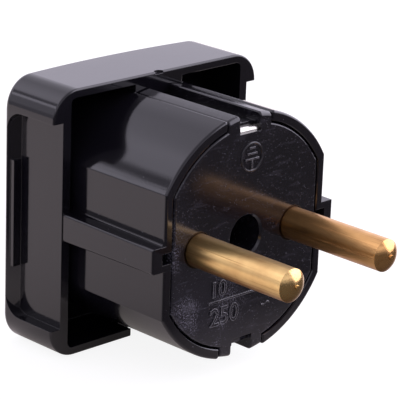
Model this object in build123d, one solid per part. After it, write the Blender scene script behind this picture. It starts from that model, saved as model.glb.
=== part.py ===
"""Travel adapter plug: a square socket head moulded in one with a round two-pin plug body.

Frame: origin in the middle between the two pins on the plug face, X across the pins, the pins
point to -Y, the socket side is +Y, and Z is up. Millimetres.
"""
from build123d import *
import os
from math import cos, hypot, radians, sin, sqrt

os.makedirs("parts", exist_ok=True)

# Round pins
pin_spacing = 19.0
pin_diameter = 4.8
pin_length = 19.0
pin_dome_height = 1.0
pin_pip_radius = 0.35
pin_pip_height = 0.2
pin_root_step = 0.25
pin_root_depth = 1.5
pin_shoulder = 0.7
rivet_head_height = 0.8
rivet_head_overlap = 0.55

# Plug body: a tube with a flat on each side, open at the face
tube_radius = 18.35
flat_depth = 2.45
tube_wall = 1.5
flat_wall = 1.4
tube_edge_round = 0.4
bore_edge_slope = 0.15
slot_half_width = 4.4

# Side ribs on the flats
rib_reach = 2.2
rib_half_height_front = 1.85
rib_half_height_back = 2.1
rib_edge_round = 0.4
rib_root_round = 0.3
rib_notch_half_height = 0.85
rib_notch_reach = 0.4
rib_notch_depth = 1.4

# Socket head: a square skirt round the back of the tube
head_over_tube = 1.75
head_corner_radius = 4.6
head_front_y = 18.8
socket_face_y = 30.9
crown_radius = 150.0
head_edge_round = 1.0
skirt_edge_round = 0.3
skirt_wall = 1.25
skirt_side_gap = 0.9
skirt_cavity_corner = 0.9
pocket_floor_thickness = 3.5
socket_wall = 2.7
bridge_half_width = 4.6
bottom_notch_half_width = 4.3
bottom_notch_depth = 3.0
gate_mark_radius = 0.8
gate_mark_depth = 0.35

# Finger recess in each side of the head
recess_depth = 1.85
recess_margin = 4.6
recess_end_margin = 3.1
recess_ramp = 1.1
recess_corner = 3.0
pad_end_gap = 7.4
pad_inset = 0.45

# Pin carrier: face plate and two grooved arms
seam_gap = 0.25
plate_thickness = 3.0
plate_edge_round = 0.35
arm_gap = 0.15
arm_drop = 0.25
arm_end_gap = 0.3
arm_end_round = 0.7
arm_edge_round = 0.25
arm_floor = 1.2
arm_tongue = 1.4
groove_half_width = 2.0
groove_depth = 3.45
skin_thickness = 1.2
skin_lip = 0.4

# Centre screw, its access hole, sleeve and post
access_radius = 3.0
access_depth = 10.0
access_chamfer = 0.3
sleeve_wall = 1.3
sleeve_floor = 1.5
screw_radius = 1.45
screw_length = 12.0
screw_head_radius = 2.6
screw_head_height = 1.8
screw_head_round = 0.6
screw_head_side_gap = 0.2
screw_head_drop = 0.4
screw_slot_width = 0.8
screw_slot_length = 3.4
screw_slot_depth = 0.9
screw_clearance = 0.25
pilot_spare_depth = 1.0
post_radius = 3.4
post_gap = 0.1

# Earth strap
strap_thickness = 0.8
strap_side_gap = 0.05
strap_end_gap = 0.3
strap_bend = 0.9
strap_eye_radius = 5.3
strap_eye_hole = 3.6

# Socket for two flat blades at an angle and a flat earth blade
blade_width = 6.4
blade_thickness = 1.6
blade_ring_radius = 7.92
blade_lean = 30.0
earth_blade_radius = 10.31
slot_clearance = 0.3
slot_lead_in = 0.4

# Folded contact clips
clip_thickness = 0.7
clip_pin_gap = 0.21
clip_gap = 2.4
clip_throat = 1.2
clip_mouth = 3.4
clip_top_gap = 1.7
clip_throat_drop = 4.0
clip_bend = 0.5
tab_width = 5.4
earth_rivet_radius = 0.8
earth_rivet_head_overlap = 0.25
earth_rivet_head_height = 0.6

# How far a cutting shape runs past the face that it opens
over = 1.0

# Sizes that follow from the ones above
pin_radius = pin_diameter / 2
pin_root_radius = pin_radius + pin_root_step
shank_radius = pin_radius - pin_shoulder
rivet_head_radius = shank_radius + rivet_head_overlap
pin_x = pin_spacing / 2
tube_half_width = tube_radius - flat_depth
shell_inner_radius = tube_radius - tube_wall
shell_inner_half_width = tube_half_width - flat_wall
head_half_width = tube_radius + head_over_tube
cavity_half_width = tube_half_width + skirt_side_gap
cavity_half_height = head_half_width - skirt_wall
pocket_floor_y = socket_face_y - pocket_floor_thickness
inner_floor_y = socket_face_y - socket_wall
recess_end_y = socket_face_y - recess_end_margin
recess_half_height = head_half_width - recess_margin
groove_floor_z = tube_radius - groove_depth
skin_top_z = groove_floor_z + skin_lip
arm_length = head_front_y - arm_end_gap
strap_length = arm_length - strap_end_gap
strap_width = 2 * (groove_half_width - strap_side_gap)
screw_seat_y = access_depth + screw_head_drop + screw_head_height
sleeve_end_y = screw_seat_y + sleeve_floor
clip_base_y = plate_thickness + clip_thickness
clip_top_y = inner_floor_y - clip_top_gap
blade_x = blade_ring_radius * cos(radians(blade_lean))
blade_z = blade_ring_radius * sin(radians(blade_lean))
pin_to_blade = sqrt((pin_x - blade_x) ** 2 + blade_z**2)
clip_width = 2 * (pin_to_blade - rivet_head_radius - clip_pin_gap)


def prism(outline, y_low, y_high):
    """An outline in the X-Z plane, as a solid from y_low to y_high."""
    return extrude(Plane.XZ.offset(-y_high) * outline, y_high - y_low)


def block(x, y, z):
    """A box between two values on each axis."""
    size = Box(x[1] - x[0], y[1] - y[0], z[1] - z[0], align=(Align.MIN, Align.MIN, Align.MIN))
    return Pos(x[0], y[0], z[0]) * size


def flatted_disc(radius, half_width):
    """A disc with a flat on each side, as an outline."""
    return Circle(radius) & Rectangle(2 * half_width, 2 * radius)


def blade_places():
    """The turn and the place of each flat blade: left, right and earth."""
    left = Pos(-blade_x, 0, blade_z) * Rot(0, blade_lean, 0)
    right = Pos(blade_x, 0, blade_z) * Rot(0, -blade_lean, 0)
    earth = Pos(0, 0, -earth_blade_radius)
    return left, right, earth


def both_sides(piece):
    """A shape on the right side, and its mirror image on the left."""
    return piece + mirror(piece, about=Plane.YZ)


def head_solid():
    """The socket head as a full block with its crowned socket face."""
    outline = RectangleRounded(2 * head_half_width, 2 * head_half_width, head_corner_radius)
    head = prism(outline, head_front_y, socket_face_y)
    crown_outline = Pos(0, socket_face_y - crown_radius) * Circle(crown_radius)
    crown = extrude(Plane.XY.offset(-2 * head_half_width) * crown_outline, 4 * head_half_width)
    head = head & crown
    head = fillet(head.edges().filter_by(lambda e: e.center().Y > recess_end_y), head_edge_round)
    return fillet(head.edges().group_by(Axis.Y)[0], skirt_edge_round)


def recess_tool():
    """The finger recess of the right side: open at the front, with a sloping end and a pad in it."""
    floor_x = head_half_width - recess_depth
    out_x = head_half_width + over
    slope = recess_ramp / recess_depth
    end = Polyline(
        (floor_x, head_front_y - over),
        (floor_x, recess_end_y),
        (out_x, recess_end_y + slope * (out_x - floor_x)),
        (out_x, head_front_y - over),
        close=True,
    )
    ramp = extrude(Plane.XY.offset(-recess_half_height) * make_face(end), 2 * recess_half_height)
    length = recess_end_y + recess_ramp - head_front_y
    outline = Pos(head_front_y, 0) * RectangleRounded(2 * length, 2 * recess_half_height, recess_corner)
    tool = ramp & extrude(Plane.YZ * outline, out_x)
    pad_half_height = recess_half_height - pad_end_gap
    pad_x = (floor_x - over, head_half_width - pad_inset)
    return tool - block(pad_x, (recess_end_y, socket_face_y), (-pad_half_height, pad_half_height))


def side_rib():
    """The rib on the right flat, from the face to the floor of the skirt, taller at the back."""
    slope = (rib_half_height_back - rib_half_height_front) / head_front_y
    end_half_height = rib_half_height_front + slope * pocket_floor_y
    outline = Polyline(
        (0, -rib_half_height_front),
        (pocket_floor_y, -end_half_height),
        (pocket_floor_y, end_half_height),
        (0, rib_half_height_front),
        close=True,
    )
    root_x = tube_half_width - flat_wall / 2
    rib = extrude(Plane.YZ.offset(root_x) * make_face(outline), tube_half_width + rib_reach - root_x)
    rib = fillet(rib.faces().sort_by(Axis.X)[-1].edges(), rib_edge_round)
    seat_half_height = end_half_height + 2 * rib_root_round
    seat_z = (-seat_half_height, seat_half_height)
    rib = rib + block((root_x, tube_half_width), (tube_edge_round, pocket_floor_y), seat_z)
    foot = rib.edges().group_by(lambda e: round(abs(e.center().X - tube_half_width), 3))[0]
    corners = foot.filter_by(lambda e: abs(e.center().Z) < end_half_height and e.length > head_front_y)
    return fillet(corners, rib_root_round)


def socket_slot():
    """One blade slot through the socket face, with a sloping lead-in all round."""
    width = blade_thickness + 2 * slot_clearance
    height = blade_width + 2 * slot_clearance
    slot = prism(Rectangle(width, height), inner_floor_y - over, socket_face_y)
    spread = 2 * (slot_lead_in + over)
    narrow = Plane.XZ.offset(slot_lead_in - socket_face_y) * Rectangle(width, height)
    wide = Plane.XZ.offset(-over - socket_face_y) * Rectangle(width + spread, height + spread)
    return slot + loft([narrow, wide])


def tube_solid():
    """The round plug body, still full inside, with a slot for each arm of the carrier."""
    tube = prism(flatted_disc(tube_radius, tube_half_width), 0, pocket_floor_y)
    slot_x = (-slot_half_width, slot_half_width)
    slot = block(slot_x, (-over, head_front_y), (groove_floor_z, head_half_width))
    tube = tube - slot - mirror(slot, about=Plane.XY)
    rim = tube.faces().sort_by(Axis.Y)[0].edges()
    lengthwise = tube.edges().filter_by(Axis.Y)
    outer = lengthwise.group_by(lambda e: round(hypot(e.center().X, e.center().Z), 3))[-1]
    return fillet(rim + outer, tube_edge_round)


def bore_mouth():
    """The sloping edge of the tube's inside at the face."""
    narrow = flatted_disc(shell_inner_radius, shell_inner_half_width)
    spread = bore_edge_slope + over
    wide = flatted_disc(shell_inner_radius + spread, shell_inner_half_width + spread)
    return loft([Plane.XZ.offset(-bore_edge_slope) * narrow, Plane.XZ.offset(over) * wide])


def body_shell():
    """The outer moulding: tube, skirt, socket face, ribs, bridge block and screw post."""
    outline = RectangleRounded(2 * cavity_half_width, 2 * cavity_half_height, skirt_cavity_corner)
    shell = head_solid() - prism(outline, head_front_y - over, pocket_floor_y)
    shell = shell + tube_solid() + both_sides(side_rib())
    bridge_x = (-bridge_half_width, bridge_half_width)
    bridge_z = (shell_inner_radius, cavity_half_height + skirt_wall / 2)
    shell = shell + block(bridge_x, (head_front_y, pocket_floor_y), bridge_z)

    inside = flatted_disc(shell_inner_radius, shell_inner_half_width)
    shell = shell - prism(inside, -over, inner_floor_y) - bore_mouth()
    shell = shell + prism(Circle(post_radius), sleeve_end_y + post_gap, inner_floor_y)
    pilot_end_y = screw_seat_y + screw_length + pilot_spare_depth
    shell = shell - prism(Circle(screw_radius), sleeve_end_y, pilot_end_y)

    notch_x = (-bottom_notch_half_width, bottom_notch_half_width)
    notch_y = (head_front_y - over, head_front_y + bottom_notch_depth)
    shell = shell - block(notch_x, notch_y, (-head_half_width - over, -tube_radius))
    gate_mark = Cylinder(gate_mark_radius, 2 * gate_mark_depth)
    shell = shell - Pos(0, head_front_y, head_half_width) * gate_mark

    notch_x = (shell_inner_half_width - over, tube_half_width + rib_notch_reach)
    notch_z = (-rib_notch_half_height, rib_notch_half_height)
    shell = shell - both_sides(block(notch_x, (-over, rib_notch_depth), notch_z) + recess_tool())
    for place in blade_places():
        shell = shell - place * socket_slot()
    return shell


def pin(side):
    """A turned pin: domed tip, a root held in the plate, and a shank peened over behind the contact."""
    tip = -pin_length
    dome_base = tip + pin_dome_height
    dome_radius = (pin_radius**2 + pin_dome_height**2) / (2 * pin_dome_height)
    dome_centre = tip + dome_radius
    pip_y = dome_centre - sqrt(dome_radius**2 - pin_pip_radius**2)
    mid_x = (pin_radius + pin_pip_radius) / 2
    mid_y = dome_centre - sqrt(dome_radius**2 - mid_x**2)
    outline = [
        Line((0, tip - pin_pip_height), (pin_pip_radius, tip - pin_pip_height)),
        Line((pin_pip_radius, tip - pin_pip_height), (pin_pip_radius, pip_y)),
        ThreePointArc((pin_pip_radius, pip_y), (mid_x, mid_y), (pin_radius, dome_base)),
        Polyline(
            (pin_radius, dome_base),
            (pin_radius, 0),
            (pin_root_radius, 0),
            (pin_root_radius, pin_root_depth),
            (shank_radius, pin_root_depth),
            (shank_radius, clip_base_y),
            (rivet_head_radius, clip_base_y),
            (shank_radius, clip_base_y + rivet_head_height),
            (0, clip_base_y + rivet_head_height),
            (0, tip - pin_pip_height),
        ),
    ]
    return Pos(side * pin_x, 0, 0) * revolve(make_face(outline), Axis.Y)


def strip_section(path, bend, thickness):
    """The side view of a strip that is folded along a path, with round bends."""
    line = Wire(FilletPolyline(*path, radius=bend).edges())
    return make_face(line.offset_2d(thickness / 2, kind=Kind.INTERSECTION, side=Side.BOTH))


def clip_leaves(base_y):
    """The U of a contact clip for a blade that stands along Z, folded from strip."""
    base = base_y - clip_thickness / 2
    side = (clip_gap + clip_thickness) / 2
    throat = (clip_throat + clip_thickness) / 2
    mouth = (clip_mouth + clip_thickness) / 2
    throat_y = clip_top_y - clip_throat_drop
    half = [(side, base), (side, throat_y - clip_throat_drop), (throat, throat_y), (mouth, clip_top_y)]
    path = [(-x, y) for x, y in reversed(half)] + half
    folded = strip_section(path, clip_bend, clip_thickness)
    return extrude(Plane.XY.offset(-clip_width / 2) * folded, clip_width)


def line_contact(side):
    """The clip of one pole with the tab that is riveted under the pin."""
    place = blade_places()[0 if side < 0 else 1]
    eye = Pos(0, -pin_to_blade) * Circle(tab_width / 2)
    neck = Pos(0, -pin_to_blade / 2) * Rectangle(clip_gap, pin_to_blade)
    tab = prism(eye + neck, plate_thickness, clip_base_y)
    contact = place * (clip_leaves(clip_base_y) + tab)
    hole = Pos(side * pin_x, 0, 0) * prism(Circle(shank_radius), plate_thickness - 1, clip_base_y + 1)
    return contact - hole


def earth_contact():
    """The clip for the earth blade, riveted through the face plate to the strap."""
    clip = Pos(0, 0, -earth_blade_radius) * clip_leaves(clip_base_y)
    hole = prism(Circle(earth_rivet_radius), plate_thickness - 1, clip_base_y + 1)
    return clip - Pos(0, 0, -earth_blade_radius) * hole


def earth_rivet():
    """The rivet between the earth strap and the earth clip, with a head on each side."""
    head = Circle(earth_rivet_radius + earth_rivet_head_overlap)
    rivet = prism(Circle(earth_rivet_radius), skin_thickness, clip_base_y)
    rivet = rivet + prism(head, skin_thickness - earth_rivet_head_height, skin_thickness)
    rivet = rivet + prism(head, clip_base_y, clip_base_y + earth_rivet_head_height)
    return Pos(0, 0, -earth_blade_radius) * rivet


def earth_strap():
    """One bent strip: an eye round the screw hole and a leg along the floor of each groove."""
    web_y = skin_thickness + strap_thickness / 2
    leg_z = groove_floor_z + strap_thickness / 2
    end_y = strap_length - strap_thickness / 2
    path = [(end_y, -leg_z), (web_y, -leg_z), (web_y, leg_z), (end_y, leg_z)]
    folded = strip_section(path, strap_bend, strap_thickness)
    strap = extrude(Plane.YZ.offset(-strap_width / 2) * folded, strap_width)
    web = (skin_thickness, skin_thickness + strap_thickness)
    strap = strap + prism(Circle(strap_eye_radius), *web)
    strap = strap - prism(Circle(strap_eye_hole), *web)
    return strap - Pos(0, 0, -earth_blade_radius) * prism(Circle(earth_rivet_radius), *web)


def carrier_arm():
    """The upper arm: it fills the slot of the tube, and its groove ends in a tongue under the tube wall."""
    half_width = slot_half_width - arm_gap
    base_z = groove_floor_z - arm_floor
    strip = Pos(0, (base_z + tube_radius) / 2) * Rectangle(2 * half_width, tube_radius - base_z)
    arm = prism(Circle(tube_radius - arm_drop) & strip, 0, arm_length)
    arm = fillet(arm.edges().group_by(Axis.Y)[0].sort_by(Axis.Z)[-1], arm_end_round)
    groove_x = (-groove_half_width, groove_half_width)
    arm = arm - block(groove_x, (skin_thickness, arm_length + over), (groove_floor_z, tube_radius))
    arm = arm - block(groove_x, (-over, skin_thickness), (skin_top_z, tube_radius))
    top = arm.faces().filter_by(GeomType.CYLINDER).group_by(lambda f: round(f.center().Z, 1))[-1]
    arm = fillet(top.edges().filter_by(Axis.Y), arm_edge_round)
    return arm + prism(Circle(shell_inner_radius - seam_gap) & strip, arm_length, arm_length + arm_tongue)


def pin_carrier():
    """The face plate with its two grooved arms, moulded round the earth strap."""
    plate_outline = flatted_disc(shell_inner_radius - seam_gap, shell_inner_half_width - seam_gap)
    plate = prism(plate_outline, 0, plate_thickness)
    plate = fillet(plate.faces().sort_by(Axis.Y)[0].edges(), plate_edge_round)
    groove_x = (-groove_half_width, groove_half_width)
    mouth = block(groove_x, (-over, skin_thickness), (skin_top_z, tube_radius))
    arm = carrier_arm()
    carrier = plate - mouth - mirror(mouth, about=Plane.XY)
    carrier = carrier + arm + mirror(arm, about=Plane.XY)

    carrier = carrier + prism(Circle(access_radius + sleeve_wall), plate_thickness / 2, sleeve_end_y)
    carrier = carrier - prism(Circle(access_radius), -over, access_depth)
    mouth_cone = Cone(access_radius, access_radius + access_chamfer, access_chamfer)
    carrier = carrier - Pos(0, access_chamfer / 2, 0) * Rot(90, 0, 0) * mouth_cone
    head_hole = Circle(screw_head_radius + screw_head_side_gap)
    carrier = carrier - prism(head_hole, access_depth - over, screw_seat_y)
    shank_hole = Circle(screw_radius + screw_clearance)
    carrier = carrier - prism(shank_hole, screw_seat_y - over, sleeve_end_y + over)
    for side in (-1, 1):
        seat = prism(Circle(pin_root_radius), -over, pin_root_depth)
        seat = seat + prism(Circle(shank_radius), 0, plate_thickness + over)
        carrier = carrier - Pos(side * pin_x, 0, 0) * seat
    carrier = carrier - earth_strap()
    return carrier - earth_rivet()


def centre_screw():
    """The screw that pulls the carrier on to the post of the shell, head towards the face."""
    top_y = screw_seat_y - screw_head_height
    head = prism(Circle(screw_head_radius), top_y, screw_seat_y)
    head = fillet(head.edges().sort_by(Axis.Y)[0], screw_head_round)
    screw = head + prism(Circle(screw_radius), screw_seat_y, screw_seat_y + screw_length)
    recess_y = (top_y - over, top_y + screw_slot_depth)
    thin = (-screw_slot_width / 2, screw_slot_width / 2)
    long = (-screw_slot_length / 2, screw_slot_length / 2)
    return screw - block(long, recess_y, thin) - block(thin, recess_y, long)


pieces = {
    "body_shell": body_shell(),
    "pin_carrier": pin_carrier(),
    "pin_left": pin(-1),
    "pin_right": pin(1),
    "contact_left": line_contact(-1),
    "contact_right": line_contact(1),
    "earth_contact": earth_contact(),
    "earth_strap": earth_strap(),
    "earth_rivet": earth_rivet(),
    "centre_screw": centre_screw(),
}

for name, piece in pieces.items():
    export_step(piece, f"parts/{name}.step")
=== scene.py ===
"""Looks of a black travel adapter plug: gloss shell, rubbed face plate, brass pins and raised marks.

Row frame, in metres: the origin is midway between the pins on the plug face, X runs across the
pins, the pins point to -Y and Z is up.
"""

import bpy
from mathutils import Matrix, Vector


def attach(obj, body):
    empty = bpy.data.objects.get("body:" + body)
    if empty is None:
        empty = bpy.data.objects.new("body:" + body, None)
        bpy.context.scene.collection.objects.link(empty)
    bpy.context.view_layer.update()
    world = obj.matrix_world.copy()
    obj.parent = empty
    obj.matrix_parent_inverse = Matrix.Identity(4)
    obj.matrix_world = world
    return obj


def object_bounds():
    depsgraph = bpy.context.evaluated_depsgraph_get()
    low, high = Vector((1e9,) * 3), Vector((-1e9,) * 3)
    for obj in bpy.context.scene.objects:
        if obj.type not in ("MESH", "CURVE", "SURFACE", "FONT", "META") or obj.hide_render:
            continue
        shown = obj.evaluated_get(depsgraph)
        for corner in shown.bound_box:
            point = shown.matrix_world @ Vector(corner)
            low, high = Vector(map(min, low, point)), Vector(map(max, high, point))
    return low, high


bl_info = {
    "name": "Adapter plug looks",
    "version": (1, 0, 0),
    "blender": (4, 5, 0),
    "location": "View3D > Sidebar > Adapter",
    "description": "Finishes, strap end, raised marks, surroundings and camera for a two-pin adapter plug",
    "category": "Object",
}

import math

import bpy
from bpy.props import FloatProperty, FloatVectorProperty, PointerProperty
from mathutils import Matrix, Vector

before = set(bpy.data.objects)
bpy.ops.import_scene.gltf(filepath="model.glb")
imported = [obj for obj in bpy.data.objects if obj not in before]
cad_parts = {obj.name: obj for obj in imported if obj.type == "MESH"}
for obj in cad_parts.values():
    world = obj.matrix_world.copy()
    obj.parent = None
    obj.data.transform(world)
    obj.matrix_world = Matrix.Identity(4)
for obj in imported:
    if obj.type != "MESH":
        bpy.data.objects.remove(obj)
cad_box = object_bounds()

MM = 0.001
BODY = "root"
QUARTER_TURN = math.radians(90)
SMOOTH_ANGLE = math.radians(35)

# Finishes
PLASTIC_IOR = 1.5
BEVEL_SAMPLES = 6
# Radius over which edges take the painted highlight of the raised marks
EDGE_HIGHLIGHT_RADIUS = 0.13 * MM
UPRIGHT_LINES = (2400.0, 50.0, 900.0)
EVEN_LINES = (900.0, 900.0, 900.0)

# Earth sign: widths of its bars from the lowest up, and the rest, all as shares of the ring's radius
EARTH_BARS = (1.3, 0.9, 0.5)
EARTH_LOWEST_BAR = -0.15
EARTH_BAR_STEP = 0.4
EARTH_STEM_MIDDLE = -0.55
EARTH_STEM_LENGTH = 0.75
# Width of its bars and stem as a share of the other marks' lines
EARTH_LINE = 0.8
# Height of a digit as a share of the size of its text
DIGIT_SHARE = 0.69
# Swing of the wave sign as a share of its length, and the steps that it is bent in
WAVE_SWING = 0.09
WAVE_STEPS = 16

# Surroundings: stops of (height over the horizon from 0 to 1, brightness), for three directions
BRIGHTEST = 4.0
LEFT_STOPS = [(0.1, 0.6), (0.17, 1.0), (0.39, 1.0), (0.42, 2.4), (0.465, 2.4), (0.49, 0.55), (0.54, 0.55),
              (0.58, 1.9), (0.7, 1.9), (0.76, 1.3)]
RIGHT_STOPS = [(0.17, 1.1), (0.2, 1.4), (0.33, 1.4), (0.42, 1.1), (0.5, 1.0)]
FRONT_STOPS = [(0.1, 0.15), (0.45, 1.1), (0.55, 1.1), (0.68, 0.7)]
# Where left turns into right along X, and front into back along Y
SIDE_TURN = (-0.25, 0.2)
DEPTH_TURN = (-0.1, 0.35)
KEY_DIRECTION = (0.871, -0.317, 0.375)
KEY_EDGE = (0.72, 0.82)
STUDIO_TINT = (0.97, 0.92, 1.08, 1)

# Floor: its grey where it lights the object
FLOOR_PAPER = 0.8
# In reflections: how much it spreads and shines, and where its front turns into its back along Y
FLOOR_SHEET = 0.7
FLOOR_SHINE = 0.15
FLOOR_TURN = (-18 * MM, 8 * MM)
# To the camera: its grey, and how much it shines
FLOOR_SHADE = 0.2
FLOOR_GLOW = 0.88


def colour(name, description, default):
    """A colour property in linear values."""
    return FloatVectorProperty(
        name=name, description=description, subtype="COLOR", size=3, min=0, max=1, default=default
    )


def length(name, description, default):
    """A length property, given in millimetres and kept in metres."""
    return FloatProperty(
        name=name, description=description, unit="LENGTH", precision=5, default=default * MM
    )


def place(name, description, default):
    """A point property, given in millimetres and kept in metres."""
    return FloatVectorProperty(
        name=name, description=description, subtype="XYZ", unit="LENGTH", size=3,
        default=[v * MM for v in default],
    )


class FinishSettings(bpy.types.PropertyGroup):
    """Colours of the finishes."""

    gloss_black: colour("Gloss black", "Polished moulding of the shell", (0.0042, 0.0038, 0.0056))
    # Black of the face plate, also laid at the pins' roots as painted shade
    plate_and_shadow_black: colour("Plate black", "Rubbed moulding of the face plate", (0.0036, 0.0033, 0.005))
    plate_haze: colour("Plate haze", "Pale haze on the face plate", (0.11, 0.105, 0.13))
    dust: colour("Dust", "Specks of dust on the plastic", (0.2, 0.19, 0.22))
    # Painted highlight: a pale grey laid on the edges of the raised marks, where light would catch them
    edge_highlight_grey: colour("Worn edges", "Rubbed edges of the raised marks", (0.42, 0.41, 0.43))
    brass: colour("Brass", "Clean brass of the pins", (0.78, 0.54, 0.22))
    aged_brass: colour("Aged brass", "Redder brass of the right pin", (0.82, 0.45, 0.165))
    # Brown of the pins' patina, also laid on their undersides as painted shade
    brown_for_patina_and_shade: colour("Tarnish", "Brown film on the pins", (0.38, 0.175, 0.06))
    strip_brass: colour("Strip brass", "Rolled brass of the contact clips", (0.78, 0.58, 0.29))
    nickel: colour("Nickel", "Plated earth strap", (0.62, 0.6, 0.55))
    zinc: colour("Zinc", "Plated screw", (0.62, 0.62, 0.6))


class StrapSettings(bpy.types.PropertyGroup):
    """Size and place of the earth strap's folded end in the mouth of the upper groove."""

    width: length("Width", "Width of the strap", 3.9)
    thickness: length("Thickness", "Thickness of the folded end", 0.08)
    front: length("Front", "Y of its upright part", 0.45)
    back: length("Back", "Y where its top ends", 1.2)
    foot: length("Foot", "Z of its lower edge", 15.31)
    top: length("Top", "Z of its top", 15.98)
    fold: length("Fold", "Radius of the fold", 0.55)


class MarkSettings(bpy.types.PropertyGroup):
    """Sizes and places of the raised marks on the face plate."""

    relief: length("Relief", "How far the marks stand out of the plate", 0.2)
    stroke: length("Stroke", "Width of the lines of the marks", 0.36)
    edge: length("Edge", "Rounding of the edges of the marks", 0.05)
    earth_centre: place("Earth sign", "Middle of the earth sign", (0.5, 0, 11.7))
    earth_radius: length("Earth radius", "Radius of the ring of the earth sign", 2.05)
    bar_start: place("Bar start", "Left end of the long bar", (-7.0, 0, -8.65))
    bar_length: length("Bar length", "Length of the long bar", 9.4)
    small_digits: place("Small digits", "Foot of the digits over the bar", (-6.95, 0, -7.85))
    small_height: length("Small height", "Height of the digits over the bar", 2.3)
    large_digits: place("Large digits", "Foot of the digits under the bar", (-6.8, 0, -12.25))
    large_height: length("Large height", "Height of the digits under the bar", 2.65)
    wave_centre: place("Wave", "Middle of the wave sign", (4.5, 0, -11.2))
    wave_length: length("Wave length", "Length of the wave sign", 1.6)


class StageSettings(bpy.types.PropertyGroup):
    """Camera, floor and surroundings."""

    azimuth: FloatProperty(
        name="Azimuth", description="Camera direction", subtype="ANGLE", default=math.radians(-44.888)
    )
    elevation: FloatProperty(
        name="Elevation", description="Camera height", subtype="ANGLE", default=math.radians(18.322)
    )
    roll: FloatProperty(
        name="Roll", description="Camera roll", subtype="ANGLE", default=math.radians(2.133)
    )
    distance: length("Distance", "Camera to target", 306.89)
    target: place("Target", "What the camera points at", (-9.463, 0, 7.344))
    lens: FloatProperty(name="Lens", description="Focal length in mm", default=200.03)
    floor_side: length("Floor", "Side of the floor", 4000)
    softbox: FloatProperty(name="Softbox", description="Strength of the surroundings", default=1.0)
    key_light: FloatProperty(name="Key light", description="Strength of the key softbox", default=2.6)
    floor_behind: FloatProperty(name="Floor behind", description="Reflected floor, back", default=1.1)
    floor_front: FloatProperty(name="Floor in front", description="Reflected floor, front", default=0.13)
    floor_tint: colour("Floor tint", "Tint of the floor in reflections", (1.0, 0.92, 0.85))


def put(tree, kind, inputs=None, **options):
    """Adds a node. An input that is given as a socket is linked, and any other value is set."""
    made = tree.nodes.new(kind)
    for name, value in options.items():
        setattr(made, name, value)
    for name, value in (inputs or {}).items():
        if isinstance(value, bpy.types.NodeSocket):
            tree.links.new(value, made.inputs[name])
        else:
            made.inputs[name].default_value = value
    return made


def calc(tree, operation, first, second):
    """The output of one arithmetic step on two values or sockets."""
    return put(tree, "ShaderNodeMath", {0: first, 1: second}, operation=operation).outputs[0]


def times(tree, first, second):
    """The product of two values or sockets."""
    return calc(tree, "MULTIPLY", first, second)


def plus(tree, first, second):
    """The sum of two values or sockets."""
    return calc(tree, "ADD", first, second)


def blend_values(tree, factor, first, second):
    """The output of a mix of two values."""
    return put(tree, "ShaderNodeMix", {"Factor": factor, "A": first, "B": second}).outputs[0]


def blend_colours(tree, factor, first, second):
    """The output of a mix of two colours."""
    mix = put(tree, "ShaderNodeMix", {"Factor": factor}, data_type="RGBA")
    for socket, value in ((mix.inputs[6], first), (mix.inputs[7], second)):
        if isinstance(value, bpy.types.NodeSocket):
            tree.links.new(value, socket)
        else:
            socket.default_value = (*value, 1)
    return mix.outputs[2]


def blend_shaders(tree, factor, first, second):
    """The output of a mix of two shaders."""
    return put(tree, "ShaderNodeMixShader", {0: factor, 1: first, 2: second}).outputs[0]


def stretch(tree, value, low, high, out_low=0.0, out_high=1.0):
    """Maps a value from one range to another and stops it at the ends."""
    ranges = {"From Min": low, "From Max": high, "To Min": out_low, "To Max": out_high}
    return put(tree, "ShaderNodeMapRange", {"Value": value, **ranges}).outputs[0]


def alike(tree, first, second):
    """How far two directions are alike: 1 where they are the same."""
    return put(tree, "ShaderNodeVectorMath", {0: first, 1: second}, operation="DOT_PRODUCT").outputs["Value"]


def own_place(tree):
    """The place on the piece."""
    return put(tree, "ShaderNodeTexCoord").outputs["Object"]


def own_normal(tree):
    """The way that the surface faces."""
    return put(tree, "ShaderNodeNewGeometry").outputs["Normal"]


def axes(tree, vector):
    """The three parts of a vector."""
    return put(tree, "ShaderNodeSeparateXYZ", {0: vector}).outputs


def bevelled_normal(tree, radius):
    """The normal as if edges were rounded by a radius."""
    return put(tree, "ShaderNodeBevel", {"Radius": radius}, samples=BEVEL_SAMPLES).outputs[0]


def noise(tree, where, scale, detail):
    """A cloudy pattern."""
    inputs = {"Vector": where, "Scale": scale, "Detail": detail}
    return put(tree, "ShaderNodeTexNoise", inputs).outputs["Fac"]


def effect_group(name, inputs, outputs):
    """An empty node group with named value sockets, and its input and output nodes."""
    tree = bpy.data.node_groups.new(name, "ShaderNodeTree")
    for label, kind, value in inputs:
        socket = tree.interface.new_socket(label, in_out="INPUT", socket_type=kind)
        socket.default_value = value
    for label in outputs:
        tree.interface.new_socket(label, in_out="OUTPUT", socket_type="NodeSocketFloat")
    return tree, put(tree, "NodeGroupInput").outputs, put(tree, "NodeGroupOutput").inputs


def dust_group(name):
    """Scattered specks: one in some of the cells of a fine pattern."""
    tree, given, result = effect_group(
        name,
        [("Density", "NodeSocketFloat", 900.0), ("Size", "NodeSocketFloat", 0.12),
         ("Share", "NodeSocketFloat", 0.3)],
        ["Mask"],
    )
    cells = put(tree, "ShaderNodeTexVoronoi", {"Vector": own_place(tree), "Scale": given["Density"]})
    near = calc(tree, "SUBTRACT", given["Size"], cells.outputs["Distance"])
    speck = stretch(tree, near, 0.0, 0.04)
    chosen = calc(tree, "LESS_THAN", cells.outputs["Color"], given["Share"])
    tree.links.new(times(tree, speck, chosen), result["Mask"])
    return tree


def lines_group(name):
    """Fine lines in one direction: a noise drawn out by unequal scales."""
    tree, given, result = effect_group(
        name,
        [("Stretch", "NodeSocketVector", (1600.0, 40.0, 1600.0)), ("Sharp", "NodeSocketFloat", 0.06)],
        ["Mask", "Height"],
    )
    drawn = put(tree, "ShaderNodeMapping", {"Vector": own_place(tree), "Scale": given["Stretch"]})
    height = noise(tree, drawn.outputs[0], 1.0, 4.0)
    low = 0.58
    high = plus(tree, low, given["Sharp"])
    tree.links.new(stretch(tree, height, low, high), result["Mask"])
    tree.links.new(height, result["Height"])
    return tree


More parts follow.
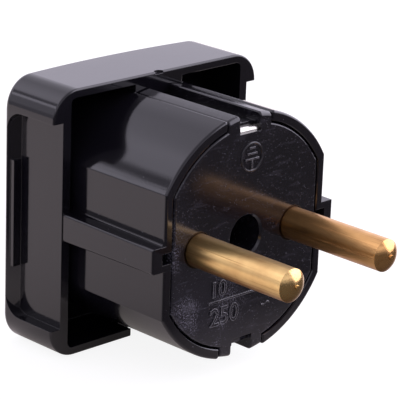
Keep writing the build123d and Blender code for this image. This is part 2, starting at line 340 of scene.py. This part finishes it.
def grain_group(name):
    """An even grain with a slower cloud: height for bump and a mask for patches."""
    tree, given, result = effect_group(
        name,
        [("Grain", "NodeSocketFloat", 4000.0), ("Cloud", "NodeSocketFloat", 120.0)],
        ["Height", "Cloud"],
    )
    where = own_place(tree)
    tree.links.new(noise(tree, where, given["Grain"], 3.0), result["Height"])
    tree.links.new(noise(tree, where, given["Cloud"], 5.0), result["Cloud"])
    return tree


EFFECTS = {"dust_specks": dust_group, "drawn_lines": lines_group, "grain_and_cloud": grain_group}


def use_effect(tree, name, **values):
    """The outputs of a shared effect, whose group is built the first time that it is asked for."""
    group = bpy.data.node_groups.get(name) or EFFECTS[name](name)
    return put(tree, "ShaderNodeGroup", values, node_tree=group).outputs


def new_finish(name, **plain):
    """A material with a Principled shader whose plain numbers are set on its own sockets."""
    made = bpy.data.materials.new(name)
    made.use_nodes = True
    shader = made.node_tree.nodes["Principled BSDF"].inputs
    for label, value in plain.items():
        shader[label].default_value = value
    return made, made.node_tree, shader


def add_bump(tree, shader, layers, edge=None):
    """Chains bump layers of (height, depth in metres, strength), over rounded edges if a radius is given."""
    inputs = {"Normal": bevelled_normal(tree, edge)} if edge else {}
    for height, depth, strength in layers:
        inputs.update({"Height": height, "Distance": depth, "Strength": strength})
        inputs["Normal"] = put(tree, "ShaderNodeBump", inputs).outputs["Normal"]
    tree.links.new(inputs["Normal"], shader["Normal"])


def painted_edge_highlight_mask(tree):
    """High on edges, where the normal of a rounded edge leaves the face's own: the mask of the painted edge
    highlights.
    """
    same = alike(tree, bevelled_normal(tree, EDGE_HIGHLIGHT_RADIUS), own_normal(tree))
    return stretch(tree, same, 0.85, 0.995, 1.0, 0.0)


def gloss_plastic(name):
    """Polished black moulding: deep gloss, slight waves, fine scratches and dust."""
    finish = bpy.context.scene.adapter_finish
    made, tree, shader = new_finish(name, IOR=PLASTIC_IOR)
    speck = use_effect(tree, "dust_specks", Density=1100.0, Size=0.12, Share=0.16)["Mask"]
    scratch = use_effect(tree, "drawn_lines", Stretch=(700.0, 30.0, 2400.0), Sharp=0.05)["Mask"]
    grain = use_effect(tree, "grain_and_cloud", Grain=3200.0, Cloud=90.0)
    wear = stretch(tree, grain["Cloud"], 0.35, 0.7)
    waves = noise(tree, own_place(tree), 55.0, 1.0)
    shade = blend_colours(tree, times(tree, speck, 0.3), finish.gloss_black, finish.dust)
    tree.links.new(shade, shader["Base Color"])
    rough = plus(tree, 0.07, times(tree, wear, 0.06))
    rough = plus(tree, rough, times(tree, scratch, 0.025))
    rough = plus(tree, rough, times(tree, speck, 0.3))
    tree.links.new(rough, shader["Roughness"])
    layers = [(waves, 0.1 * MM, 0.5), (scratch, 0.0015 * MM, 0.3), (grain["Height"], 0.006 * MM, 0.5)]
    add_bump(tree, shader, layers, 0.12 * MM)
    return made


def plate_plastic(name, haze_share, rough, painted_edge_highlights):
    """Rubbed black moulding: haze in one corner, hairlines, fine specks and, if asked, painted highlights in
    pale grey on its edges.
    """
    finish = bpy.context.scene.adapter_finish
    made, tree, shader = new_finish(name, IOR=PLASTIC_IOR)
    speck = use_effect(tree, "dust_specks", Density=3600.0, Size=0.2, Share=0.24)["Mask"]
    hairline = use_effect(tree, "drawn_lines", Stretch=(260.0, 900.0, 1500.0), Sharp=0.04)["Mask"]
    grain = use_effect(tree, "grain_and_cloud", Grain=4200.0, Cloud=170.0)
    patches = stretch(tree, grain["Cloud"], 0.5, 0.75)
    speckle = stretch(tree, grain["Height"], 0.5, 0.66)
    where = axes(tree, own_place(tree))
    corner = stretch(tree, plus(tree, where["X"], where["Z"]), -18 * MM, -4 * MM, 1.0, 0.1)
    haze = times(tree, times(tree, patches, speckle), haze_share)
    haze = plus(tree, times(tree, haze, corner), times(tree, corner, 0.09))
    haze = plus(tree, haze, times(tree, hairline, 0.08))
    haze = calc(tree, "MINIMUM", haze, 1.0)
    shade = blend_colours(tree, haze, finish.plate_and_shadow_black, finish.plate_haze)
    shade = blend_colours(tree, times(tree, speck, 0.38), shade, finish.dust)
    # Painted highlight: edges are laid over with a pale grey that stands in for the light catching them
    if painted_edge_highlights:
        shade = blend_colours(tree, painted_edge_highlight_mask(tree), shade, finish.edge_highlight_grey)
    tree.links.new(shade, shader["Base Color"])
    spread = times(tree, times(tree, patches, corner), 0.25)
    tree.links.new(plus(tree, rough, spread), shader["Roughness"])
    layers = [(grain["Height"], 0.004 * MM, 0.5), (speck, 0.02 * MM, 0.5), (hairline, 0.004 * MM, 0.4)]
    add_bump(tree, shader, layers, 0.1 * MM)
    return made


def pin_brass(name):
    """Turned brass with lengthwise scratches and a brown patina, heavier on the right pin, and painted shade
    on its underside and at its root.
    """
    finish = bpy.context.scene.adapter_finish
    made, tree, shader = new_finish(name, Metallic=1.0)
    fine = use_effect(tree, "drawn_lines", Stretch=(4400.0, 42.0, 4400.0), Sharp=0.08)
    coarse = use_effect(tree, "drawn_lines", Stretch=(700.0, 70.0, 700.0), Sharp=0.2)
    grain = use_effect(tree, "grain_and_cloud", Grain=3000.0, Cloud=260.0)
    where = axes(tree, own_place(tree))
    right_pin = stretch(tree, where["X"], -1 * MM, 1 * MM, 0.0, 0.8)
    patina_and_shade_mask = stretch(tree, grain["Cloud"], 0.35, 0.75, 0.05, 0.5)
    patina_and_shade_mask = plus(tree, patina_and_shade_mask, times(tree, coarse["Mask"], 0.45))
    patina_and_shade_mask = plus(tree, patina_and_shade_mask, times(tree, fine["Mask"], 0.5))
    facing = axes(tree, own_normal(tree))
    # Painted shade: the patina grows where the pin faces down, darkening its underside as shade would
    patina_and_shade_mask = plus(tree, patina_and_shade_mask, stretch(tree, facing["Z"], -0.3, -0.9, 0.0, 0.6))
    shade = blend_colours(tree, right_pin, finish.brass, finish.aged_brass)
    shade = blend_colours(tree, calc(tree, "MINIMUM", patina_and_shade_mask, 1.0), shade, finish.brown_for_patina_and_shade)
    # Painted shade: the pin is darkened to the plate's black where it leaves the plate, a shadow line at its
    # root
    root = stretch(tree, where["Y"], -0.15 * MM, -0.02 * MM, 0.0, 0.96)
    shade = blend_colours(tree, root, shade, finish.plate_and_shadow_black)
    tree.links.new(shade, shader["Base Color"])
    # The domed tip is smoother than the straight length
    rough = stretch(tree, where["Y"], -18.2 * MM, -17.9 * MM, 0.17, 0.29)
    rough = plus(tree, rough, times(tree, fine["Mask"], 0.2))
    rough = plus(tree, rough, times(tree, patina_and_shade_mask, 0.1))
    tree.links.new(rough, shader["Roughness"])
    layers = [(fine["Height"], 0.014 * MM, 0.8), (coarse["Mask"], 0.012 * MM, 0.5)]
    add_bump(tree, shader, layers, 0.08 * MM)
    return made


def plated_metal(name, tint, rough, lengthways):
    """Rolled or plated metal with fine lines along one axis and slightly uneven gloss."""
    made, tree, shader = new_finish(name, Metallic=1.0)
    lines = use_effect(tree, "drawn_lines", Stretch=lengthways, Sharp=0.12)
    cloud = use_effect(tree, "grain_and_cloud", Grain=3000.0, Cloud=300.0)["Cloud"]
    dull = stretch(tree, cloud, 0.4, 0.75, 0.0, 0.35)
    shade = blend_colours(tree, dull, tint, [v * 0.6 for v in tint])
    tree.links.new(shade, shader["Base Color"])
    tree.links.new(plus(tree, rough, times(tree, lines["Mask"], 0.12)), shader["Roughness"])
    add_bump(tree, shader, [(lines["Height"], 0.006 * MM, 0.6)])
    return made


def shared_finish(name, maker, *values):
    """A finish that several pieces share, made the first time that it is asked for."""
    return bpy.data.materials.get(name) or maker(name, *values)


def raised_finish():
    """The plate's plastic, with painted highlights in pale grey on the edges of the raised marks."""
    return shared_finish("marks_with_painted_edge_highlights", plate_plastic, 1.2, 0.2, True)


def strap_finish():
    """Nickel plating of the earth strap."""
    tint = bpy.context.scene.adapter_finish.nickel
    return shared_finish("nickel_plating", plated_metal, tint, 0.24, UPRIGHT_LINES)


def paint(node, material):
    """Gives a finish to every slot of a CAD node."""
    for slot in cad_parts[node].material_slots:
        slot.material = material


def start_clean():
    """Leaves edit mode and deselects everything, as an operator acts on all that is selected."""
    if bpy.context.object is not None and bpy.context.object.mode != "OBJECT":
        bpy.ops.object.mode_set(mode="OBJECT")
    bpy.ops.object.select_all(action="DESELECT")


def pick_only(pieces):
    """Selects these pieces and makes the first of them the active one."""
    start_clean()
    for piece in pieces:
        piece.select_set(True)
    bpy.context.view_layer.objects.active = pieces[0]


def select_points(piece, wanted):
    """Selects the points of a mesh that pass a test, with the edges and faces between them."""
    points = piece.data.vertices
    for point in points:
        point.select = wanted(point.co)
    for part in (*piece.data.edges, *piece.data.polygons):
        part.select = all(points[v].select for v in part.vertices)


def apply_place():
    """Moves the picked pieces' place, turn and scale into their meshes."""
    bpy.ops.object.transform_apply(location=True, rotation=True, scale=True)


def smooth(piece):
    """Shades a piece smooth, apart from its sharp edges."""
    pick_only([piece])
    bpy.ops.object.shade_smooth_by_angle(angle=SMOOTH_ANGLE)


def settle(piece, name, material):
    """Applies a finished piece's place, and gives it its name, body, slot and finish."""
    pick_only([piece])
    apply_place()
    piece.name = name
    piece.data.name = name
    piece.data.materials.clear()
    piece.data.materials.append(material)
    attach(piece, BODY)


def join_all(pieces):
    """Joins pieces into the first one."""
    pick_only(pieces)
    bpy.ops.object.join()
    return bpy.context.object


def round_edges(piece, width):
    """Bevels the sharp edges of a piece and shades it smooth."""
    pick_only([piece])
    bevel = piece.modifiers.new("edges", "BEVEL")
    bevel.width = width
    bevel.segments = 2
    bevel.limit_method = "ANGLE"
    bpy.ops.object.modifier_apply(modifier=bevel.name)
    smooth(piece)


def raised_bar(centre, size):
    """A bar that stands on the plate: a cube at its place, with its outer face drawn in."""
    marks = bpy.context.scene.adapter_marks
    start_clean()
    middle = Vector(centre) + Vector((0, -marks.relief / 2, 0))
    bpy.ops.mesh.primitive_cube_add(size=1, location=middle, scale=(size[0], marks.relief, size[1]))
    piece = bpy.context.object
    apply_place()
    select_points(piece, lambda point: point.y < middle.y)
    bpy.ops.object.mode_set(mode="EDIT")
    shrink = ((size[0] - marks.edge) / size[0], 1, (size[1] - marks.edge) / size[1])
    bpy.ops.transform.resize(value=shrink, center_override=middle)
    bpy.ops.object.mode_set(mode="OBJECT")
    return piece


def raised_ring(centre, radius):
    """A ring of round section that stands half out of the plate."""
    marks = bpy.context.scene.adapter_marks
    start_clean()
    bpy.ops.mesh.primitive_torus_add(
        location=centre, rotation=(QUARTER_TURN, 0, 0), major_radius=radius,
        minor_radius=marks.stroke / 2, major_segments=64, minor_segments=12,
    )
    apply_place()
    bpy.ops.object.shade_smooth()
    return bpy.context.object


def raised_digits(text, foot, height):
    """Plain digits that stand on the plate."""
    marks = bpy.context.scene.adapter_marks
    start_clean()
    bpy.ops.object.text_add(location=(0, 0, 0))
    piece = bpy.context.object
    piece.data.body = text
    piece.data.size = height / DIGIT_SHARE
    piece.data.extrude = marks.relief / 2
    piece.data.bevel_depth = marks.edge / 2
    piece.data.bevel_resolution = 1
    piece.data.resolution_u = 4
    piece.data.offset = marks.edge / 2
    bpy.ops.object.convert(target="MESH")
    stand = Matrix.Translation(Vector(foot) + Vector((0, -marks.relief / 2, 0)))
    piece.matrix_world = stand @ Matrix.Rotation(QUARTER_TURN, 4, "X")
    apply_place()
    smooth(piece)
    return piece


def wave_sign(centre, wave_length):
    """The raised wave: a short rod bent up and down, half in the plate."""
    marks = bpy.context.scene.adapter_marks
    start_clean()
    bpy.ops.mesh.primitive_cylinder_add(
        vertices=12, radius=marks.stroke / 2, depth=wave_length, end_fill_type="TRIFAN"
    )
    piece = bpy.context.object
    bpy.ops.object.mode_set(mode="EDIT")
    bpy.ops.mesh.select_all(action="SELECT")
    bpy.ops.transform.rotate(value=QUARTER_TURN, orient_axis="Y", center_override=(0, 0, 0))
    for step in range(1, WAVE_STEPS):
        along = wave_length * (step / WAVE_STEPS - 0.5)
        bpy.ops.mesh.select_all(action="SELECT")
        bpy.ops.mesh.bisect(plane_co=(along, 0, 0), plane_no=(1, 0, 0))
    bpy.ops.object.mode_set(mode="OBJECT")
    for vertex in piece.data.vertices:
        turn = 2 * math.pi * vertex.co.x / wave_length
        vertex.co.z += wave_length * WAVE_SWING * math.sin(turn)
    piece.location = centre
    apply_place()
    smooth(piece)
    return piece


class ADAPTER_OT_shell(bpy.types.Operator):
    """Gives the outer shell its polished black finish"""

    bl_idname = "adapter.finish_shell"
    bl_label = "Finish shell"

    def execute(self, context):
        paint("body_shell", gloss_plastic("gloss_black_moulding"))
        return {"FINISHED"}


class ADAPTER_OT_carrier(bpy.types.Operator):
    """Gives the face plate and its arms their rubbed finish"""

    bl_idname = "adapter.finish_carrier"
    bl_label = "Finish pin carrier"

    def execute(self, context):
        paint("pin_carrier", plate_plastic("rubbed_face_plate", 2.4, 0.15, False))
        return {"FINISHED"}


class ADAPTER_OT_pins(bpy.types.Operator):
    """Gives both pins their turned brass finish"""

    bl_idname = "adapter.finish_pins"
    bl_label = "Finish pins"

    def execute(self, context):
        brass = pin_brass("turned_brass")
        for node in ("pin_left", "pin_right"):
            paint(node, brass)
        return {"FINISHED"}


class ADAPTER_OT_inner_metal(bpy.types.Operator):
    """Gives the clips, the strap, the rivet and the screw their metal finishes"""

    bl_idname = "adapter.finish_inner_metal"
    bl_label = "Finish inner metal"

    def execute(self, context):
        finish = context.scene.adapter_finish
        strip = plated_metal("rolled_brass_strip", finish.strip_brass, 0.28, UPRIGHT_LINES)
        for node in ("contact_left", "contact_right", "earth_contact", "earth_rivet"):
            paint(node, strip)
        paint("earth_strap", strap_finish())
        paint("centre_screw", plated_metal("zinc_screw", finish.zinc, 0.3, EVEN_LINES))
        return {"FINISHED"}


class ADAPTER_OT_strap_end(bpy.types.Operator):
    """Adds the folded end of the earth strap that shows in the mouth of the upper groove"""

    bl_idname = "adapter.add_strap_end"
    bl_label = "Add strap end"

    def execute(self, context):
        strap = context.scene.adapter_strap
        start_clean()
        middle = Vector((0, (strap.front + strap.back) / 2, strap.top))
        bpy.ops.mesh.primitive_plane_add(size=1, location=middle)
        piece = context.object
        piece.scale = (strap.width, strap.back - strap.front, 1)
        apply_place()
        select_points(piece, lambda point: point.y < middle.y)
        bpy.ops.object.mode_set(mode="EDIT")
        down = {"value": (0, 0, strap.foot - strap.top)}
        bpy.ops.mesh.extrude_region_move(TRANSFORM_OT_translate=down)
        bpy.ops.mesh.select_all(action="SELECT")
        bpy.ops.mesh.normals_make_consistent(inside=False)
        bpy.ops.object.mode_set(mode="OBJECT")
        fold = piece.modifiers.new("fold", "BEVEL")
        fold.width = strap.fold
        fold.segments = 6
        sheet = piece.modifiers.new("sheet", "SOLIDIFY")
        sheet.thickness = strap.thickness
        sheet.offset = 1
        for modifier in (fold.name, sheet.name):
            bpy.ops.object.modifier_apply(modifier=modifier)
        smooth(piece)
        settle(piece, "earth_strap_end", strap_finish())
        return {"FINISHED"}


class ADAPTER_OT_earth_sign(bpy.types.Operator):
    """Adds the raised earth sign: a ring with a stem and three bars"""

    bl_idname = "adapter.add_earth_sign"
    bl_label = "Add earth sign"

    def execute(self, context):
        marks = context.scene.adapter_marks
        centre = Vector(marks.earth_centre)
        radius = marks.earth_radius
        line = marks.stroke * EARTH_LINE
        bars = []
        for row, share in enumerate(EARTH_BARS):
            height = radius * (EARTH_LOWEST_BAR + row * EARTH_BAR_STEP)
            bars.append(raised_bar(centre + Vector((0, 0, height)), (radius * share, line)))
        stem_middle = centre + Vector((0, 0, radius * EARTH_STEM_MIDDLE))
        bars.append(raised_bar(stem_middle, (line, radius * EARTH_STEM_LENGTH)))
        for bar in bars:
            round_edges(bar, marks.edge / 2)
        sign = join_all([raised_ring(centre, radius)] + bars)
        settle(sign, "earth_sign", raised_finish())
        return {"FINISHED"}


class ADAPTER_OT_rating(bpy.types.Operator):
    """Adds the plain raised digits, the bar between them and the wave sign"""

    bl_idname = "adapter.add_rating"
    bl_label = "Add rating digits"

    def execute(self, context):
        marks = context.scene.adapter_marks
        small = raised_digits("10", marks.small_digits, marks.small_height)
        large = raised_digits("250", marks.large_digits, marks.large_height)
        middle = Vector(marks.bar_start) + Vector((marks.bar_length / 2, 0, 0))
        bar = raised_bar(middle, (marks.bar_length, marks.stroke))
        round_edges(bar, marks.edge / 2)
        wave = wave_sign(marks.wave_centre, marks.wave_length)
        digits = join_all([small, large, bar, wave])
        settle(digits, "rating_digits", raised_finish())
        return {"FINISHED"}


def camera_axes(stage):
    """The camera's right, up and backward directions."""
    flat = math.cos(stage.elevation)
    level = Vector((math.sin(stage.azimuth), -math.cos(stage.azimuth), 0))
    back = level * flat + Vector((0, 0, math.sin(stage.elevation)))
    right = Vector((math.cos(stage.azimuth), math.sin(stage.azimuth), 0))
    up = back.cross(right)
    rolled_right = right * math.cos(stage.roll) + up * math.sin(stage.roll)
    rolled_up = up * math.cos(stage.roll) - right * math.sin(stage.roll)
    return rolled_right, rolled_up, back


def add_camera(stage):
    """The camera at the photograph's viewing angle."""
    right, up, back = camera_axes(stage)
    start_clean()
    bpy.ops.object.camera_add()
    camera = bpy.context.object
    camera.name = "photo_camera"
    camera.data.lens = stage.lens
    camera.data.sensor_width = 36
    camera.data.clip_start = 10 * MM
    turn = Matrix((right, up, back)).transposed().to_4x4()
    camera.matrix_world = Matrix.Translation(Vector(stage.target) + back * stage.distance) @ turn
    bpy.context.scene.camera = camera


def diffuse(tree, shade):
    """A diffuse shader of a colour, or of a grey given as one number."""
    tint = (shade, shade, shade, 1) if isinstance(shade, float) else shade
    return put(tree, "ShaderNodeBsdfDiffuse", {"Color": tint}).outputs[0]


def glow(tree, tint, strength):
    """A shader that shines by itself."""
    return put(tree, "ShaderNodeEmission", {"Color": tint, "Strength": strength}).outputs[0]


def both(tree, first, second):
    """Two shaders added up."""
    return put(tree, "ShaderNodeAddShader", {0: first, 1: second}).outputs[0]


def floor_finish(stage):
    """A white floor. In reflections it is white behind the object and dark in front of it."""
    made = bpy.data.materials.new("white_floor")
    made.use_nodes = True
    tree = made.node_tree
    tree.nodes.clear()
    along = axes(tree, own_place(tree))["Y"]
    lit = stretch(tree, along, *FLOOR_TURN, stage.floor_front, stage.floor_behind)
    shares = [times(tree, lit, FLOOR_SHEET * part) for part in stage.floor_tint]
    sheet = put(tree, "ShaderNodeCombineColor", dict(enumerate(shares))).outputs[0]
    shine = glow(tree, (*stage.floor_tint, 1), times(tree, lit, FLOOR_SHINE))
    reflected = both(tree, diffuse(tree, sheet), shine)
    seen = both(tree, diffuse(tree, FLOOR_SHADE), glow(tree, (1, 1, 1, 1), FLOOR_GLOW))
    ray = put(tree, "ShaderNodeLightPath").outputs
    mirrored = calc(tree, "MAXIMUM", ray["Is Glossy Ray"], ray["Is Transmission Ray"])
    other = blend_shaders(tree, mirrored, diffuse(tree, FLOOR_PAPER), reflected)
    shown = blend_shaders(tree, ray["Is Camera Ray"], other, seen)
    put(tree, "ShaderNodeOutputMaterial", {"Surface": shown})
    return made


def height_profile(tree, height, stops):
    """Brightness by height over the horizon, from stops of (height, brightness)."""
    ramp = put(tree, "ShaderNodeValToRGB", {0: height})
    points = ramp.color_ramp.elements
    while len(points) < len(stops):
        points.new(0.5)
    for point, (level, bright) in zip(points, stops):
        point.position = level
        point.color = [bright / BRIGHTEST] * 3 + [1]
    return times(tree, ramp.outputs[0], BRIGHTEST)


def add_surroundings(stage):
    """The world: white to the camera, and for the rest a studio with softboxes and a dark front."""
    world = bpy.data.worlds.new("white_studio")
    bpy.context.scene.world = world
    world.use_nodes = True
    tree = world.node_tree
    tree.nodes.clear()
    towards = put(tree, "ShaderNodeTexCoord").outputs["Generated"]
    part = axes(tree, towards)
    left, right, front = [height_profile(tree, part["Z"], s) for s in (LEFT_STOPS, RIGHT_STOPS, FRONT_STOPS)]
    back = blend_values(tree, stretch(tree, part["X"], *SIDE_TURN), left, right)
    level = blend_values(tree, stretch(tree, part["Y"], *DEPTH_TURN), front, back)
    level = times(tree, level, stage.softbox)
    key = stretch(tree, alike(tree, towards, KEY_DIRECTION), *KEY_EDGE, 0.0, stage.key_light)
    studio = {"Color": STUDIO_TINT, "Strength": plus(tree, level, key)}
    white = {"Color": (1, 1, 1, 1), "Strength": 1.0}
    shaders = [put(tree, "ShaderNodeBackground", inputs).outputs[0] for inputs in (studio, white)]
    seen = put(tree, "ShaderNodeLightPath").outputs["Is Camera Ray"]
    put(tree, "ShaderNodeOutputWorld", {"Surface": blend_shaders(tree, seen, *shaders)})


class ADAPTER_OT_stage(bpy.types.Operator):
    """Adds the floor, the surroundings and the camera"""

    bl_idname = "adapter.set_stage"
    bl_label = "Set stage"

    def execute(self, context):
        stage = context.scene.adapter_stage
        low = cad_box[0]
        start_clean()
        bpy.ops.mesh.primitive_plane_add(size=stage.floor_side, location=(0, 0, low[2]))
        floor = context.object
        floor.name = "floor"
        floor.data.materials.append(floor_finish(stage))
        add_surroundings(stage)
        add_camera(stage)
        context.scene.view_settings.view_transform = "Standard"
        return {"FINISHED"}


class ADAPTER_PT_looks(bpy.types.Panel):
    """Lists the settings and the steps in the sidebar"""

    bl_label = "Adapter plug"
    bl_space_type = "VIEW_3D"
    bl_region_type = "UI"
    bl_category = "Adapter"

    def draw(self, context):
        for group_name, group in SETTINGS.items():
            box = self.layout.box()
            for name in group.__annotations__:
                box.prop(getattr(context.scene, group_name), name)
        for step in OPERATORS:
            self.layout.operator(step.bl_idname)


SETTINGS = {
    "adapter_finish": FinishSettings,
    "adapter_strap": StrapSettings,
    "adapter_marks": MarkSettings,
    "adapter_stage": StageSettings,
}
OPERATORS = (
    ADAPTER_OT_shell,
    ADAPTER_OT_carrier,
    ADAPTER_OT_pins,
    ADAPTER_OT_inner_metal,
    ADAPTER_OT_strap_end,
    ADAPTER_OT_earth_sign,
    ADAPTER_OT_rating,
    ADAPTER_OT_stage,
)


def register():
    for made in (*SETTINGS.values(), *OPERATORS, ADAPTER_PT_looks):
        bpy.utils.register_class(made)
    for name, group in SETTINGS.items():
        setattr(bpy.types.Scene, name, PointerProperty(type=group))


def unregister():
    for name in SETTINGS:
        delattr(bpy.types.Scene, name)
    for made in (ADAPTER_PT_looks, *reversed(OPERATORS), *SETTINGS.values()):
        bpy.utils.unregister_class(made)


def main():
    register()
    bpy.ops.adapter.finish_shell()
    bpy.ops.adapter.finish_carrier()
    bpy.ops.adapter.finish_pins()
    bpy.ops.adapter.finish_inner_metal()
    bpy.ops.adapter.add_strap_end()
    bpy.ops.adapter.add_earth_sign()
    bpy.ops.adapter.add_rating()
    bpy.ops.adapter.set_stage()


if __name__ == "__main__":
    main()
